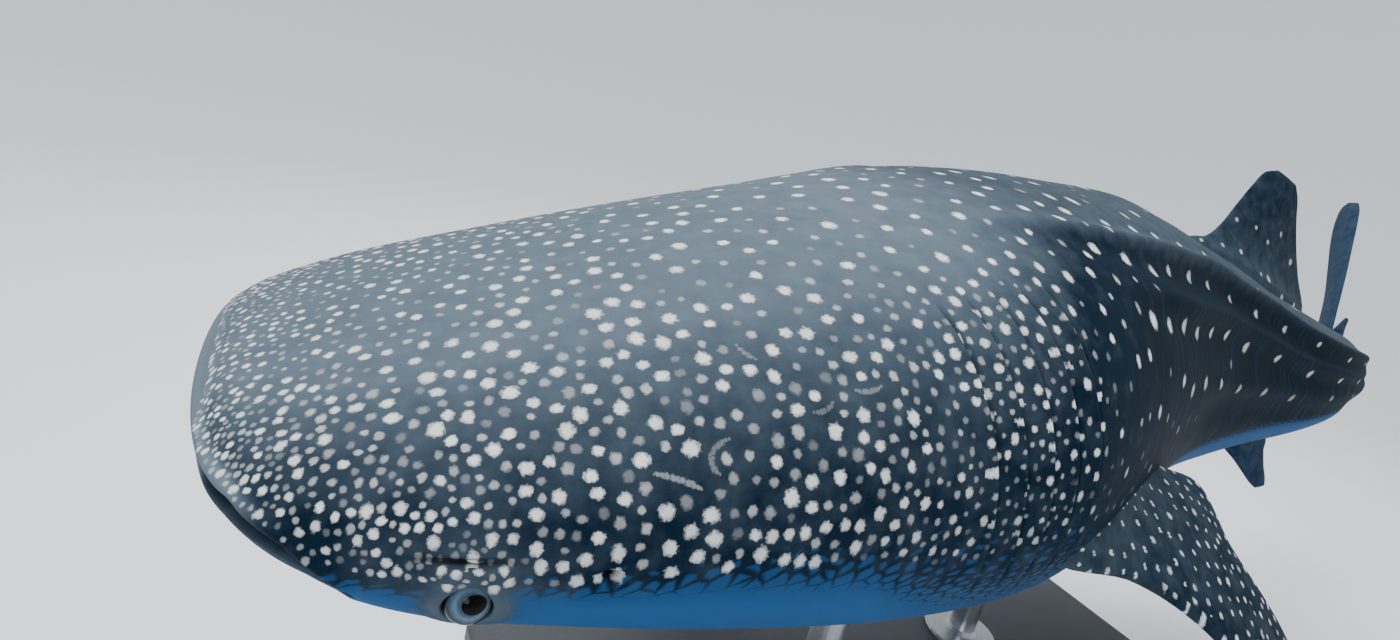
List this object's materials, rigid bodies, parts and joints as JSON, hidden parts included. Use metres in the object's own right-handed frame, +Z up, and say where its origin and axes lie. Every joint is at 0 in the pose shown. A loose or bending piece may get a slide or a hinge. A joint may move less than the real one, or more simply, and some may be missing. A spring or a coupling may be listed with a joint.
{
  "type": "whale shark model on a display stand",
  "caption": "Life-size still model of a young whale shark, broad flat head, long ridged trunk and bent tail, held over a flat base by short rods.",
  "frame": {"origin": "on the floor, under the middle of the model's bounding box", "axes": "+Z up; the shark swims towards -X, so +X runs from snout to tail; its left side faces -Y"},
  "size_m": [5.3622, 1.7856, 1.88],
  "materials": {
    "skin": "satin cast skin, dark slate with cream spots",
    "eye": "glossy",
    "stand_board": "matt painted board",
    "stand_metal": "brushed"
  },
  "bodies": {
    "root": {"head": "skin", "lower_jaw": "skin", "gill_region": "skin", "trunk_front": "skin", "trunk_rear": "skin", "tail_stock": "skin", "eye_left": "eye", "eye_right": "eye", "first_dorsal_fin": "skin", "second_dorsal_fin": "skin", "anal_fin": "skin", "pectoral_fin_left": "skin", "pectoral_fin_right": "skin", "pelvic_fin_left": "skin", "pelvic_fin_right": "skin", "caudal_fin_upper": "skin", "caudal_fin_lower": "skin", "stand_base": "stand_board", "stand_rod_front": "stand_metal", "stand_rod_rear": "stand_metal"}
  },
  "joints": []
}
